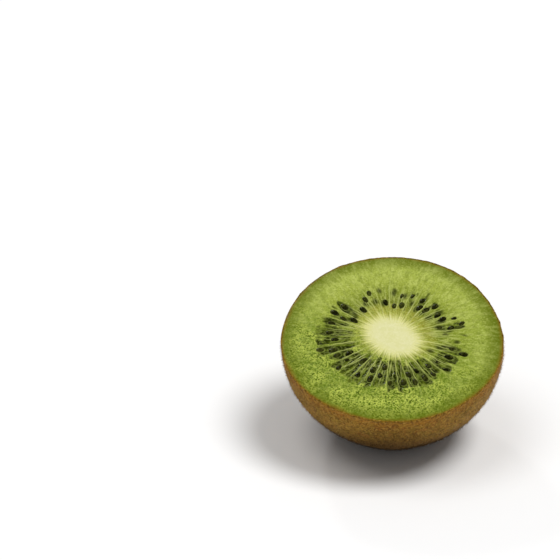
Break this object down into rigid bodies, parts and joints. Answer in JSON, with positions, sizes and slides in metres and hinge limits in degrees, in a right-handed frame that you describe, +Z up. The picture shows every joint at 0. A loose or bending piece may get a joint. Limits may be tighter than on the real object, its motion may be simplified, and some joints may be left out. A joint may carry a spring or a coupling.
{
  "type": "kiwi fruit half",
  "caption": "Half of a green kiwi fruit, cut across, resting tilted on its rounded skin side: pale core, radial seed chambers with small dark seeds, thin hairy brown skin.",
  "frame": {"origin": "centre of the small flat spot on the skin that the half rests on", "axes": "+Z up from the surface it rests on; the cut face looks up and towards -Y, tilted 17.7 degrees from level; +X across the cut face"},
  "size_m": [0.0539, 0.0547, 0.0364],
  "materials": {
    "flesh": "wet translucent green flesh, darker gel in the seed chambers",
    "core": "soft cream pith, slightly moist",
    "skin": "thin matt brown skin with dark specks and short stiff hairs",
    "seed": "glossy near-black seed coats"
  },
  "bodies": {
    "root": {"flesh": "flesh", "core": "core"}
  },
  "joints": []
}
